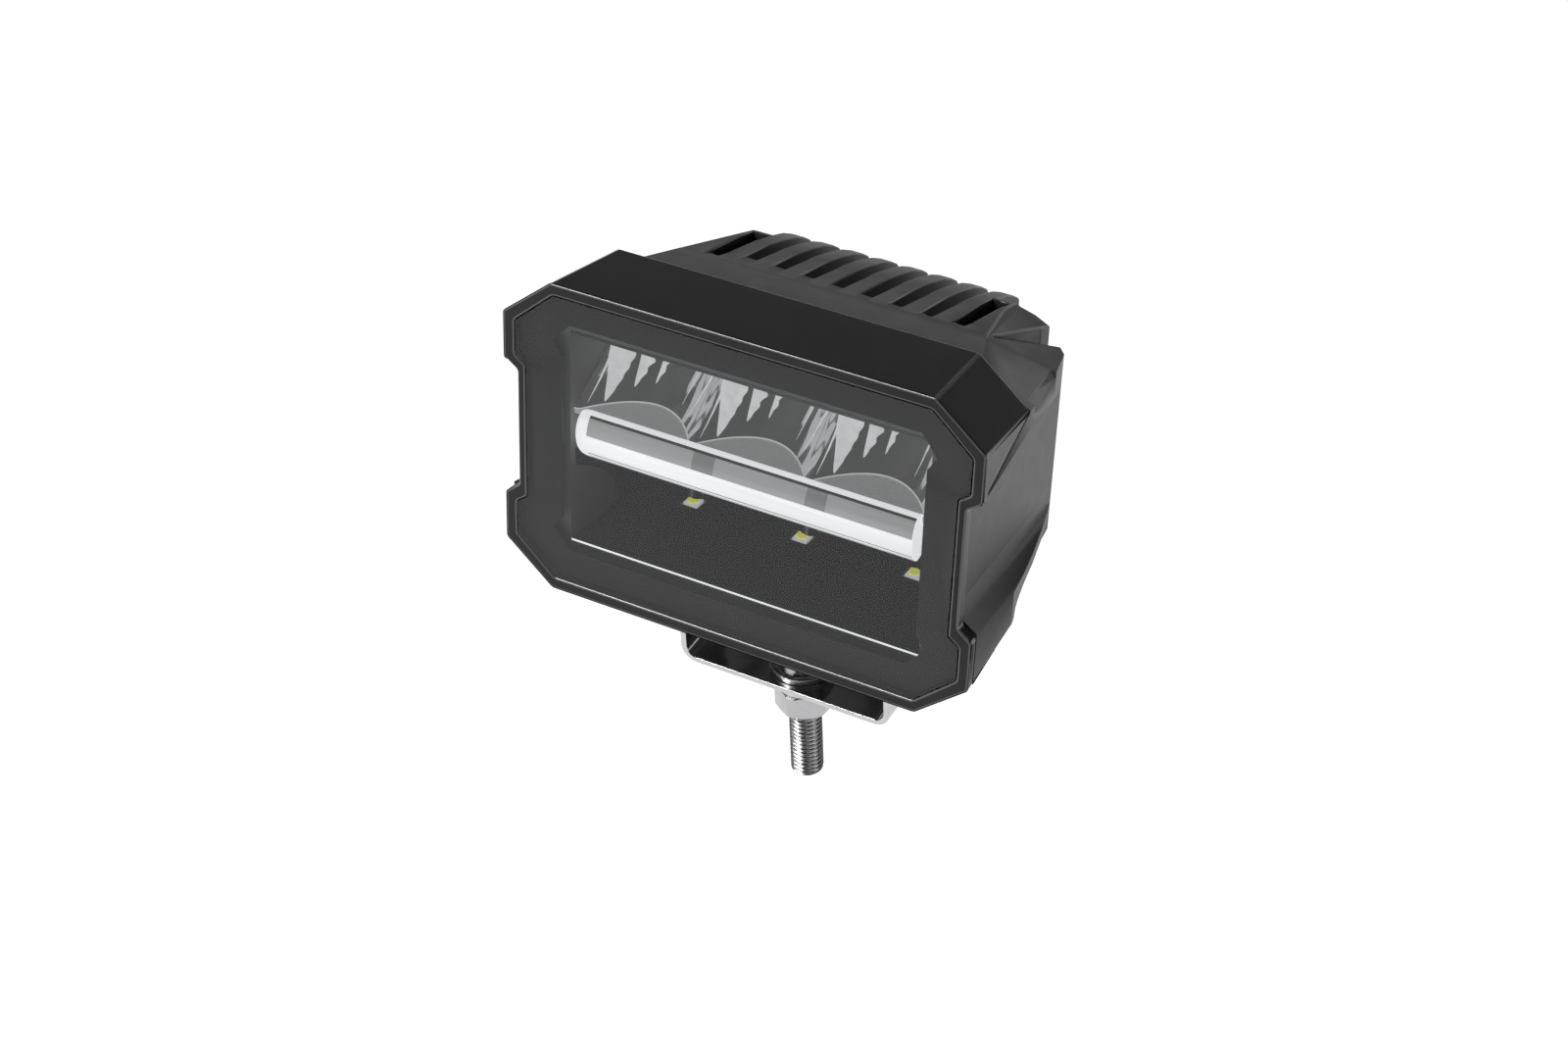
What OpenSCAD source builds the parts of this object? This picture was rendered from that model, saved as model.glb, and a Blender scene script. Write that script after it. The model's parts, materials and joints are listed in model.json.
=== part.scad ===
// Rectangular LED fog light on a steel U bracket with a single M8 bolt.
// Origin: centre of the mounting nut's lower face, on the bolt's axis. +Z up the bolt, lamp faces -Y.
// The lamp head is drawn in its own frame (front face on y = 0, centre at z = 0) and then placed.

/* [Head] */
// Width across the front bezel
front_w = 115; // [112:0.5:118]
// Height of the front bezel
front_h = 76.8; // [75:0.5:79]
// Distance from the front face to the seam between bezel and housing
seam_y = 24.7; // [23:0.1:26]
// Distance from the front face to the rear of the flanks
flank_y = 61.5; // [61:0.5:62]
// Distance from the front face to the rear of the fins
rear_y = 80; // [79:0.5:81]
// Wall thickness of the bezel skirt
bezel_wall = 2; // [1.6:0.1:2.2]
// Wall thickness of the cast housing
housing_wall = 2.6; // [2.4:0.1:3]

/* [Fins] */
// Number of slots between the cooling fins
slot_count = 9; // [9:2:9]
// Spacing of the slots
slot_pitch = 7.55; // [7.3:0.05:7.6]
// Width of a slot at its front
slot_w = 3.3; // [3:0.1:3.6]
// Width of a slot at the fins' rear
slot_rear_w = 4.3; // [3.8:0.1:4.6]

/* [Optics] */
// Spacing of the three bowls in each row
led_pitch = 28.4; // [28:0.1:28.6]
// Distance of the LEDs behind the front face
led_y = 33; // [32:0.5:34]
// Focal length of the bowls
focus = 4.5; // [4.3:0.05:4.7]
// Side of an LED package
led_side = 3.5; // [3:0.1:4]
// Thickness of the front lens
lens_t = 1.8; // [1.6:0.1:2]
// Half the length of the light guide
guide_half = 41.6; // [40:0.1:42]

/* [Bracket] */
// Outer width of the U bracket
bracket_w = 54.6; // [54.4:0.1:55]
// Depth of the bracket's strip
bracket_d = 19.2; // [18:0.1:20]
// Thickness of the bracket's sheet
bracket_t = 1.5; // [1.4:0.1:1.6]
// Height of the tilt axis above the bracket's underside
pivot_h = 22.8; // [22.5:0.1:24]
// How far the head leans back from upright at rest
rest_tilt = 8; // [0:1:12]

/* [Fasteners] */
// Diameter of the mounting bolt
bolt_d = 7.9; // [7.8:0.05:8]
// Length of the mounting bolt under its head
bolt_len = 35; // [30:1:40]
// Diameter of the pivot bolts
pivot_bolt_d = 6; // [5.8:0.1:6]

/* [Hidden] */

$fn = 48;
side_x = front_w / 2;
top_z = front_h / 2;
corner_x = 45.5;
corner_z = 28.6;
gap = 0.1;

// Rear of the bezel, as half width and height, and the height of the shell just behind it
seam_side_x = side_x - 1.7;
seam_top_z = top_z - 1.8;
shell_top_z = 32.9;
facet_tilt = 31.7;
facet_turn = 28.6;
scoop_tilt = 53.9;
scoop_turn = 18.7;

// Hardware stack on the bolt, from the nut's lower face upwards
nut_h = 6.8;
nut_af = 13;
washer_t = 1.6;
spring_washer_t = 2;
plate_z = nut_h + spring_washer_t + washer_t;
bolt_top_z = plate_z + bracket_t + washer_t + gap;
bolt_head_h = 5.3;
// The shank is this much thinner in radius above the nut's lower face
bolt_relief = 0.25;

// Tilt axis: place in the head's own frame, and in the part's frame
pivot_y = 33.5;
pivot_z = -43;
axis_z = plate_z + pivot_h;
lug_in = 19.6;
lug_out = bracket_w / 2 - bracket_t - gap;

// Straight rear part of the housing's cavity, and the front of the wall that carries the fins
cavity_x = 43.6;
board_pocket_x = 41.3;
cavity_step_y = 24;
base_y = 43;

// Each row's glossy plate faces its LEDs' way: the lower one up, the upper one down
lower_z = -27.2;
upper_z = 24.9;
plate_t = 0.7;
board_t = 1.6;
pad_t = 0.5;
// Top of the arched shelf and underside of its holder, between the two rows
shelf_z = 5.7;
shelf_under_z = -4.4;
row_half = 43.4;
bowl_front_y = 8.4;
bowl_end_y = 39.4;

// Puts geometry drawn in the head's frame into the part's frame
module in_head() {
    translate([0, 0, axis_z])
        rotate([-rest_tilt, 0, 0])
            translate([0, -pivot_y, -pivot_z])
                children();
}

// Extrudes a front-view outline (x, z) from y0 to y1
module front_prism(y0, y1) {
    translate([0, y1, 0])
        rotate([90, 0, 0])
            linear_extrude(y1 - y0)
                children();
}

// Extrudes a side-view outline (y, z) from x0 to x1
module side_prism(x0, x1) {
    translate([x0, 0, 0])
        rotate([90, 0, 90])
            linear_extrude(x1 - x0)
                children();
}

// A cylinder along x between x0 and x1
module rod_x(x0, x1, r, y, z) {
    translate([x0, y, z])
        rotate([0, 90, 0])
            cylinder(h = x1 - x0, r = r);
}

// A cylinder along y between y0 and y1
module rod_y(y0, y1, r, x, z) {
    translate([x, y1, z])
        rotate([90, 0, 0])
            cylinder(h = y1 - y0, r = r);
}

module mirror_x() {
    children();
    mirror([1, 0, 0])
        children();
}

// Eight-cornered outline: half width and height of the flat top, half width and height of the side
module octagon(top_x, top, side, side_top, inset = 0) {
    x0 = top_x - inset * 0.4;
    x1 = side - inset;
    z0 = top - inset;
    z1 = side_top - inset * 0.4;
    polygon([[x0, z0], [x1, z1], [x1, -z1], [x0, -z0], [-x0, -z0], [-x1, -z1], [-x1, z1], [-x0, z0]]);
}

// Tapered body from the front face to the seam
module front_body(inset = 0) {
    hull() {
        front_prism(0, 0.02)
            octagon(corner_x, top_z, side_x, corner_z, inset);
        front_prism(seam_y - 0.02, seam_y)
            octagon(corner_x - 2, seam_top_z, seam_side_x, corner_z - 2.1, inset);
    }
}

// Solid body behind the seam, before the fins and the flanks are cut
module shell_body() {
    half = [[seam_side_x, seam_y], [54.3, 33], [52.4, 42], [50.2, 51], [48.1, flank_y - 3],
        [47.3, flank_y], [45.4, flank_y + 1.8], [41, flank_y + 3.5]];
    difference() {
        intersection() {
            side_prism(-60, 60)
                polygon([[seam_y, shell_top_z], [41.2, 31.5], [47, 30.4], [58.5, 28.5], [66, 26.5],
                    [66, -21], [62, -24], [52, -28.6], [41, -32.4], [seam_y, -33.2]]);
            linear_extrude(140, center = true)
                polygon(concat(half, [for (i = [7:-1:0]) [-half[i][0], half[i][1]]]));
        }
        facets();
        // scoop under each facet's outer edge
        mirror_x()
            intersection() {
                translate([53.2, 29.5, 25.9])
                    rotate([0, scoop_tilt, scoop_turn])
                        translate([-30, -60, 0])
                            cube([60, 120, 30]);
                linear_extrude(80)
                    polygon([[53.4, 28.4], [53.2, 29.5], [49.5, 48.6], [49.4, 50], [70, 50],
                        [70, 28.4]]);
            }
    }
}

// What lies above the sloping facet on each side of the top
module facets() {
    mirror_x()
        translate([37.7, 41.2, 31.4])
            rotate([0, facet_tilt, facet_turn])
                translate([-70, -60, 0])
                    cube([140, 120, 60]);
}

// Notch between each facet's rear edge and the finned block, with a floor that falls to the rear
module notches() {
    mirror_x()
        intersection() {
            linear_extrude(140, center = true)
                polygon([[37.8, 41.6], [45.6, 63.2], [48, 70], [40.4, 70], [38.3, 45]]);
            side_prism(30, 60)
                polygon([[41.5, 31.8], [47.5, 26], [47.5, 4], [70, 4], [70, 60], [41.5, 60]]);
        }
}

// Convex solid that spans the points
module span(points) {
    hull()
        for (p = points)
            translate(p)
                cube(0.02, center = true);
}

// Half width of the flat panel in each flank, at distance y from the front
function panel_x(y) = 54.1 - 0.112 * (y - 1);

// What is cut away from each flank: a flat panel that recedes, and a sloping face below it
module flank_cut() {
    mirror_x() {
        span([for (p = [[-1, 17.3], [28.7, 22.3], [70, 8.6], [-1, -7.4], [70, -19]], out = [0, 12])
            [panel_x(p[0]) + out, p[0], p[1]]]);
        span([[54.1, -1, -7.4], [66, -1, -7.4], [54.4, -1, -13.4], [66, -1, -20.9], [panel_x(70), 70, -15],
            [58, 70, -15], [47.4, 62, -18], [58, 62, -20.4]]);
    }
}

// Front outline of the bezel's side notches, right-hand side
module notch_outline() {
    polygon([[70, 17.2], [side_x, 17.2], [54.1, 14.8], [54.1, -14], [side_x, -16.7], [70, -16.7]]);
}

// Outline of the lens, grown by g
module lens_outline(g = 0) {
    half = [[44.8 + g * 0.4, 35.4 + g], [54.5 + g, 26.9 + g * 0.4], [54.5 + g, 18.6 - g * 0.3],
        [51.85 + g, 16.7 - g * 0.3], [51.85 + g, -16.7 + g * 0.3], [54.5 + g, -18.6 + g * 0.3],
        [54.5 + g, -26.9 - g * 0.4], [44.8 + g * 0.4, -35.4 - g]];
    polygon(concat(half, [for (i = [7:-1:0]) [-half[i][0], half[i][1]]]));
}

// Clear window inside the dark border
module window_outline() {
    half = [[42.1, 28.4], [46, 23.5], [43.8, 20.2], [43.8, -20.2], [46, -23.5], [42.1, -28.4]];
    polygon(concat(half, [for (i = [5:-1:0]) [-half[i][0], half[i][1]]]));
}

// Side view of the opening in the bezel's skirt that the housing's flank fills
module flank_view(grow = 0) {
    polygon([[2.8 - grow, 18.5 + grow], [seam_y + 0.1, 26.4 + grow], [seam_y + 0.1, -26.6 - grow],
        [2.8 - grow, -28.2 - grow]]);
}

module flank_zone(grow = 0) {
    mirror_x()
        side_prism(50, 60)
            flank_view(grow);
}

module front_bezel() color([0.07, 0.07, 0.075]) in_head() {
    difference() {
        front_body();
        intersection() {
            front_body(bezel_wall);
            front_prism(4.4, seam_y + 1)
                square([200, 200], center = true);
        }
        front_prism(-1, 2.6)
            lens_outline(0.15);
        front_prism(-1, 6)
            lens_outline(-2.6);
        mirror_x()
            front_prism(-1, 3)
                notch_outline();
        difference() {
            flank_zone();
            front_prism(-1, 2.8)
                square([200, 200], center = true);
        }
    }
}

module front_lens() color([0.75, 0.78, 0.8, 0.35]) in_head() {
    front_prism(0.1, 0.1 + lens_t)
        lens_outline();
}

module lens_mask() color([0.16, 0.16, 0.165]) in_head() {
    front_prism(0.1 + lens_t, 2.2)
        difference() {
            lens_outline();
            window_outline();
        }
}

module lens_gasket() color([0.05, 0.05, 0.05]) in_head() {
    front_prism(2.2, 2.6)
        difference() {
            lens_outline(-0.2);
            lens_outline(-2.4);
        }
}

// Side view of the finned block
module block_view() {
    polygon([[41, 31.5], [47, 30.4], [52.9, 29.5], [58.5, 28.5], [64.5, 27], [71.3, 24.9],
        [75.6, 22.9], [78.6, 21], [79.7, 19.3], [rear_y, 17], [rear_y, -4], [77.5, -11],
        [72, -17.5], [62, -24], [52, -28.6], [41, -31.4]]);
}

// Plan view of the finned block
module block_plan() {
    half = [[37.7, 41], [38.2, 45], [40.3, 69], [36.8, 68.6], [34, 66.6], [28.5, 66.6],
        [28.4, rear_y - 1.2], [27.6, rear_y]];
    polygon(concat(half, [for (i = [7:-1:0]) [-half[i][0], half[i][1]]]));
}

module slots() {
    for (i = [0:slot_count - 1]) {
        middle = (i - (slot_count - 1) / 2) * slot_pitch;
        closed = i == 0 || i == slot_count - 1;
        translate([middle, 0, 0])
            linear_extrude(100, center = true)
                polygon([[-slot_w / 2, 48.5], [slot_w / 2, 48.5], [slot_rear_w / 2, closed ? 64.6 : 90],
                    [-slot_rear_w / 2, closed ? 64.6 : 90]]);
        side_prism(middle - slot_w / 2, middle + slot_w / 2)
            polygon([[41, 31.6], [43.4, 30.7], [48.6, 27.4], [48.6, 40], [41, 40]]);
    }
}

// Bosses under the housing that the bracket's arms clamp
module lugs() {
    mirror_x()
        side_prism(lug_in, lug_out)
            difference() {
                union() {
                    translate([pivot_y, pivot_z])
                        circle(r = 6.8);
                    polygon([[pivot_y - 9, -33.6], [pivot_y - 6.7, pivot_z], [pivot_y + 6.7, pivot_z],
                        [pivot_y + 9, -31]]);
                }
                translate([pivot_y, pivot_z])
                    circle(r = pivot_bolt_d / 2 - gap / 2);
            }
}

// Space for the optics: wide at the front, then a straight box ahead of the fins
module cavity() {
    hull() {
        front_prism(4, 4.2)
            octagon(corner_x, top_z, side_x - 1.6, corner_z, bezel_wall + housing_wall);
        front_prism(cavity_step_y - 0.2, cavity_step_y)
            octagon(44.4, 29.8, 45, 29.3);
    }
    cavity_low = lower_z - plate_t - board_t - pad_t;
    cavity_high = upper_z + plate_t + board_t + pad_t;
    translate([-cavity_x, cavity_step_y - 1, cavity_low])
        cube([2 * cavity_x, base_y - cavity_step_y + 1, upper_z + plate_t + 0.1 - cavity_low]);
    translate([-board_pocket_x, cavity_step_y - 1, 0])
        cube([2 * board_pocket_x, base_y - cavity_step_y + 1, cavity_high]);
}

module rear_housing() color([0.1, 0.1, 0.105]) in_head() {
    difference() {
        union() {
            shell_body();
            intersection() {
                front_body(bezel_wall + 0.15);
                front_prism(4.6, seam_y)
                    square([200, 200], center = true);
            }
            intersection() {
                front_body();
                flank_zone(-0.15);
            }
            difference() {
                intersection() {
                    side_prism(-60, 60)
                        block_view();
                    linear_extrude(140, center = true)
                        block_plan();
                }
                facets();
            }
            lugs();
        }
        cavity();
        flank_cut();
        // underside of each flank
        mirror_x()
            side_prism(47.4, 60)
                polygon([[seam_y - 0.1, -26.7], [26.6, -26], [27.3, -23.8], [29.2, -22.6], [33, -21.5],
                    [57, -21.2], [60, -19.6], [61.6, -17], [62.6, -13], [70, -10], [70, -50],
                    [seam_y - 0.1, -50]]);
        slots();
        notches();
        // pocket for the gland and the vent
        translate([-17, 48.5, -50])
            cube([34, 40, 39]);
        rod_y(40, 60, 5.95, -7, -21);
        rod_y(40, 60, 2.95, 9, -21);
        board_screw_places(lower_z - plate_t - board_t - pad_t - 1.6)
            cylinder(h = 2, r = 1.05);
        board_screw_places(upper_z + plate_t + board_t + pad_t - 0.4)
            cylinder(h = 2, r = 1.05);
    }
}

// Moves its children to the two screws of an LED board, at height z
module board_screw_places(z) {
    for (x = [-38, 38])
        translate([x, 40, z])
            children();
}

module inner_frame() color([0.5, 0.5, 0.51]) in_head() {
    difference() {
        union() {
            front_prism(4.8, 6)
                square([2 * 48, 61.4], center = true);
            front_prism(5.8, cavity_step_y - 0.5)
                square([2 * 44.8, 58.6], center = true);
        }
        translate([-row_half - 0.1, 0, lower_z - 0.75])
            cube([2 * row_half + 0.2, 40, upper_z - lower_z + 1.6]);
    }
}

// Places its children at each of the three optical axes
module at_leds() {
    for (i = [-1:1])
        translate([i * led_pitch, 0, 0])
            children();
}

// Space inside one paraboloid bowl whose focus is at the origin, opening towards -y
module bowl_space() {
    reach = 42;
    steps = 14;
    outline = [for (i = [0:steps]) let (r = reach * i / steps) [r, focus - r * r / (4 * focus)]];
    rotate([-90, 0, 0])
        rotate_extrude($fn = 72)
            polygon(concat(outline, [[0, outline[steps][1]]]));
}

// One row's moulded reflector, between the two heights
module bowls(z0, z1, axis_height, floor_cut) {
    difference() {
        translate([-row_half, bowl_front_y, z0])
            cube([2 * row_half, bowl_end_y - bowl_front_y, z1 - z0]);
        intersection() {
            at_leds()
                translate([0, led_y, axis_height])
                    bowl_space();
            translate([-50, -60, floor_cut])
                cube([100, 120, 60]);
        }
    }
}

module upper_reflector() color([0.82, 0.82, 0.84]) in_head() {
    bowls(shelf_z - 1.3, upper_z - 0.05, upper_z, shelf_z);
}

module lower_reflector() color([0.82, 0.82, 0.84]) in_head() {
    mirror([0, 0, 1])
        bowls(-shelf_under_z + 0.2, -lower_z - 0.05, -lower_z, -shelf_under_z + 1.5);
}

// Glossy plate with a square opening at each LED
module led_plate() {
    difference() {
        translate([-row_half, 4.9, 0])
            cube([2 * row_half, 37.9, plate_t]);
        at_leds()
            translate([-2.6, led_y - 2.6, -1])
                cube([5.2, 5.2, 4]);
        board_screw_places(-1)
            cylinder(h = 3, r = 2.2);
    }
}

module lower_plate() color([0.14, 0.14, 0.15]) in_head()
    translate([0, 0, lower_z - plate_t])
        led_plate();

module upper_plate() color([0.14, 0.14, 0.15]) in_head()
    translate([0, 0, upper_z])
        led_plate();

module led_board() {
    difference() {
        translate([-41, 26, 0])
            cube([82, 16, board_t]);
        board_screw_places(-1)
            cylinder(h = 4, r = 1.1);
    }
}

module lower_led_board() color([0.85, 0.86, 0.86]) in_head()
    translate([0, 0, lower_z - plate_t - board_t])
        led_board();

module upper_led_board() color([0.85, 0.86, 0.86]) in_head()
    translate([0, 0, upper_z + plate_t])
        led_board();

// Three packages with a domed phosphor, facing up
module leds() {
    at_leds()
        translate([0, led_y, 0])
            union() {
                linear_extrude(0.8)
                    square([led_side, led_side], center = true);
                cylinder(h = 1.5, r = 1.25);
            }
}

module lower_leds() color([0.95, 0.9, 0.45]) in_head()
    translate([0, 0, lower_z - plate_t])
        leds();

module upper_leds() color([0.95, 0.9, 0.45]) in_head()
    translate([0, 0, upper_z + plate_t])
        mirror([0, 0, 1])
            leds();

module thermal_pad() {
    difference() {
        translate([-40, 26.5, 0])
            cube([80, 15, pad_t]);
        board_screw_places(-1)
            cylinder(h = 4, r = 1.2);
    }
}

module lower_thermal_pad() color([0.75, 0.55, 0.6]) in_head()
    translate([0, 0, lower_z - plate_t - board_t - pad_t])
        thermal_pad();

module upper_thermal_pad() color([0.75, 0.55, 0.6]) in_head()
    translate([0, 0, upper_z + plate_t + board_t])
        thermal_pad();

// Side view of the light guide
module guide_view() {
    polygon([[3.4, 5.6], [4.2, 6.6], [6.4, 6.8], [6.6, 5.8], [8.2, 4.8], [8.2, -3], [6.8, -4.6],
        [4.4, -4.8], [3, -3.4], [2.7, 1], [3, 4]]);
}

module light_guide() color([0.96, 0.97, 1]) in_head() {
    side_prism(-guide_half, guide_half)
        guide_view();
}

module guide_holder() color([0.62, 0.62, 0.63]) in_head() {
    union() {
        translate([-row_half, 9.8, shelf_under_z])
            cube([2 * row_half, 2, shelf_z - 1.4 - shelf_under_z]);
        for (x = [-row_half, row_half - 1.5])
            translate([x, 6.6, shelf_under_z])
                cube([1.5, 4, shelf_z - 1.4 - shelf_under_z]);
    }
}

module guide_board() color([0.2, 0.35, 0.25]) in_head() {
    translate([-41, 9, -3.4])
        cube([82, 0.8, 6.8]);
}

module guide_leds() color([0.95, 0.95, 0.85]) in_head() {
    for (i = [-7:7])
        translate([i * 5.4 - 1, 8.4, -0.8])
            cube([2, 0.6, 1.6]);
}

module driver_board() color([0.12, 0.3, 0.2]) in_head() {
    translate([-32, base_y - 2.2, -8])
        cube([64, 1.6, 16]);
}

// A coil, two capacitors and two transistors, in the space between the two rows of bowls
module driver_parts() color([0.2, 0.2, 0.22]) in_head() {
    front_y = base_y - 2.2;
    rod_y(front_y - 9, front_y, 3.9, -22, 0);
    rod_y(front_y - 7, front_y, 3.2, -12, 0);
    translate([-4, front_y - 8, -3.4])
        cube([11, 8, 7]);
    for (x = [14, 20])
        translate([x, front_y - 3, -3])
            cube([3.4, 3, 7]);
}

module breather_vent() color([0.05, 0.05, 0.05]) in_head() {
    rod_y(base_y, 48.5, 2.9, 9, -21);
    rod_y(48.5, 51.5, 5, 9, -21);
}

module cable_gland() color([0.06, 0.06, 0.06]) in_head() {
    difference() {
        union() {
            rod_y(base_y, 48.5, 5.9, -7, -21);
            translate([-7, 53.5, -21])
                rotate([90, 0, 0])
                    cylinder(h = 5, r = 8, $fn = 6);
            rod_y(53.5, 62, 6, -7, -21);
        }
        rod_y(40, 63, 3, -7, -21);
    }
}

// A screw that stands on z = 0 and goes down through a board and its pad
module board_screw() {
    cylinder(h = 0.6, r = 1.9);
    translate([0, 0, -board_t - pad_t - 1.4])
        cylinder(h = board_t + pad_t + 1.4, r = 1);
}

module board_screws() color([0.75, 0.75, 0.78]) in_head() {
    board_screw_places(lower_z - plate_t)
        board_screw();
    board_screw_places(upper_z + plate_t)
        mirror([0, 0, 1])
            board_screw();
}

module pivot_bolts() color([0.75, 0.75, 0.78]) in_head() {
    mirror_x()
        union() {
            rod_x(lug_in + 1, bracket_w / 2 + 2.6, pivot_bolt_d / 2 - gap / 2, pivot_y, pivot_z);
            difference() {
                rod_x(bracket_w / 2 + 2.6, bracket_w / 2 + 6, 5, pivot_y, pivot_z);
                translate([bracket_w / 2 + 4, pivot_y, pivot_z])
                    rotate([0, 90, 0])
                        cylinder(h = 4, r = 2.3, $fn = 6);
            }
        }
}

module ring_x(x0, x1, outer, inner) {
    difference() {
        rod_x(x0, x1, outer, pivot_y, pivot_z);
        rod_x(x0 - 1, x1 + 1, inner, pivot_y, pivot_z);
    }
}

module pivot_flat_washers() color([0.8, 0.8, 0.82]) in_head() {
    mirror_x()
        ring_x(bracket_w / 2 + gap, bracket_w / 2 + 1.2, 6, 3.1);
}

module pivot_spring_washers() color([0.6, 0.6, 0.62]) in_head() {
    mirror_x()
        ring_x(bracket_w / 2 + 1.2, bracket_w / 2 + 2.6, 5.2, 3.1);
}

// Front view of the bent strip
module bracket_view() {
    half_w = bracket_w / 2;
    bend = 4.1;
    difference() {
        union() {
            translate([-half_w, bend])
                square([bracket_w, pivot_h + 8 - bend]);
            translate([-half_w + bend, 0])
                square([bracket_w - 2 * bend, bend + 1]);
            for (x = [-half_w + bend, half_w - bend])
                translate([x, bend])
                    circle(r = bend);
        }
        translate([-half_w + bracket_t, bend])
            square([bracket_w - 2 * bracket_t, 60]);
        translate([-half_w + bend, bracket_t])
            square([bracket_w - 2 * bend, 60]);
        for (x = [-half_w + bend, half_w - bend])
            translate([x, bend])
                circle(r = bend - bracket_t);
    }
}

// Side view of the bracket: a strip with round ends at the tilt axis
module bracket_side() {
    end_r = 7.4;
    union() {
        translate([-bracket_d / 2, 0])
            square([bracket_d, 9]);
        polygon([[-bracket_d / 2, 9], [bracket_d / 2, 9], [end_r, pivot_h], [-end_r, pivot_h]]);
        translate([0, pivot_h])
            circle(r = end_r);
    }
}

module mounting_bracket() color([0.85, 0.86, 0.87]) translate([0, 0, plate_z]) {
    difference() {
        intersection() {
            front_prism(-bracket_d, bracket_d)
                bracket_view();
            side_prism(-bracket_w, bracket_w)
                bracket_side();
        }
        translate([0, 0, -1])
            cylinder(h = 5, r = bolt_d / 2 + gap);
        rod_x(-bracket_w, bracket_w, pivot_bolt_d / 2 + gap / 2, 0, pivot_h);
    }
}

module mount_bolt() color([0.45, 0.45, 0.47]) {
    translate([0, 0, bolt_top_z - bolt_len])
        cylinder(h = bolt_len - bolt_top_z, r = bolt_d / 2);
    cylinder(h = bolt_top_z, r = bolt_d / 2 - bolt_relief);
    translate([0, 0, bolt_top_z])
        rotate([0, 0, 30])
            cylinder(h = bolt_head_h, r = nut_af / sqrt(3), $fn = 6);
}

module washer(z, t, outer) {
    translate([0, 0, z])
        difference() {
            cylinder(h = t, r = outer);
            translate([0, 0, -1])
                cylinder(h = t + 2, r = bolt_d / 2 + gap / 2);
        }
}

module head_washer() color([0.8, 0.8, 0.82])
    washer(plate_z + bracket_t + gap, washer_t, 8);

module flat_washer() color([0.8, 0.8, 0.82])
    washer(nut_h + spring_washer_t, washer_t - gap, 8);

module spring_washer() color([0.6, 0.6, 0.62])
    washer(nut_h, spring_washer_t, 6.6);

module mount_nut() color([0.85, 0.86, 0.87])
    difference() {
        rotate([0, 0, 30])
            cylinder(h = nut_h, r = nut_af / sqrt(3), $fn = 6);
        translate([0, 0, -1])
            cylinder(h = nut_h + 2, r = bolt_d / 2 + 0.02);
    }

front_bezel();
front_lens();
lens_mask();
lens_gasket();
rear_housing();
inner_frame();
upper_reflector();
lower_reflector();
upper_plate();
lower_plate();
upper_led_board();
lower_led_board();
upper_leds();
lower_leds();
upper_thermal_pad();
lower_thermal_pad();
light_guide();
guide_holder();
guide_board();
guide_leds();
driver_board();
driver_parts();
breather_vent();
cable_gland();
board_screws();
pivot_bolts();
pivot_spring_washers();
pivot_flat_washers();
mounting_bracket();
mount_bolt();
head_washer();
flat_washer();
spring_washer();
mount_nut();
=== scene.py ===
"""Looks of the fog light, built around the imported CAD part. Lengths are in millimetres where not said."""

import json
import math

import bmesh
import bpy
from mathutils import Matrix, Vector

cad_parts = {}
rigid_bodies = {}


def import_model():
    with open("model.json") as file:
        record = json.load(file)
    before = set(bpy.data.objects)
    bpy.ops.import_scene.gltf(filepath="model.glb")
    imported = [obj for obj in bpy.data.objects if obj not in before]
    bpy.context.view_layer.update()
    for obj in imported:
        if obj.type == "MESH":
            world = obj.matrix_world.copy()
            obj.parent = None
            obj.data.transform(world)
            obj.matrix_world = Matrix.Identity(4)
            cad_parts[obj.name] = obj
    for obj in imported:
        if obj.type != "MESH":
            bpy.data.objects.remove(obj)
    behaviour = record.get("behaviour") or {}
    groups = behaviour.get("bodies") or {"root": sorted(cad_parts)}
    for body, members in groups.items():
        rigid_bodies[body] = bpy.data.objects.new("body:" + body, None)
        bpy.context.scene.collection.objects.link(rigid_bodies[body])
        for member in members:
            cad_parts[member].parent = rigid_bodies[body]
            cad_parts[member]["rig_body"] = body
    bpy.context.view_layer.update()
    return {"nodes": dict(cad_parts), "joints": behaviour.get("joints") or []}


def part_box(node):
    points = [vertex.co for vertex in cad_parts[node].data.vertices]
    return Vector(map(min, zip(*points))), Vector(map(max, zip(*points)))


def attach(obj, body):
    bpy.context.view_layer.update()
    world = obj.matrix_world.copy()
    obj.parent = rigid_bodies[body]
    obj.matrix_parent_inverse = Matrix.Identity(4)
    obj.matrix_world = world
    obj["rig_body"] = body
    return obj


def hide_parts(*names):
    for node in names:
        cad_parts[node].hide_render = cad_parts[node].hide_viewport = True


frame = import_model()

MM = 0.001
LEAN = math.radians(8)
# The head's own frame has its front face on y = 0 and its centre on z = 0; this is its tilt axis there
PIVOT_Y = 33.5
PIVOT_Z = -43
TILT_HEIGHT = frame["joints"][1]["pos_m"][2]
HEAD_TURN = (
    Matrix.Translation((0, 0, TILT_HEIGHT))
    @ Matrix.Rotation(-LEAN, 4, "X")
    @ Matrix.Translation((0, -PIVOT_Y * MM, -PIVOT_Z * MM))
)
PART = Matrix.Scale(MM, 4)
HEAD = HEAD_TURN @ PART


def head_box(node):
    """Lowest and highest corner of a CAD node in the head's own frame, in millimetres."""
    inverse = HEAD.inverted()
    points = [inverse @ v.co for v in frame["nodes"][node].data.vertices]
    low = [min(p[i] for p in points) for i in range(3)]
    high = [max(p[i] for p in points) for i in range(3)]
    return low, high


LED_PITCH = 28.4
LED_Y = 33
LED_THICK = 0.7
FOCUS = 4.5
# left, middle and right bowl
PLACES = (-1, 0, 1)
NUT_ACROSS = 13
# corners of a CAD mesh closer than this are one corner
WELD = 0.002 * MM
LOWER_Z = head_box("lower_plate")[1][2]
UPPER_Z = head_box("upper_plate")[0][2]
ROW_HALF = head_box("upper_reflector")[1][0]
SHELF_Z = 5.7
GUIDE_LOW, GUIDE_HIGH = head_box("light_guide")

# ---------------------------------------------------------------- materials


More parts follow.
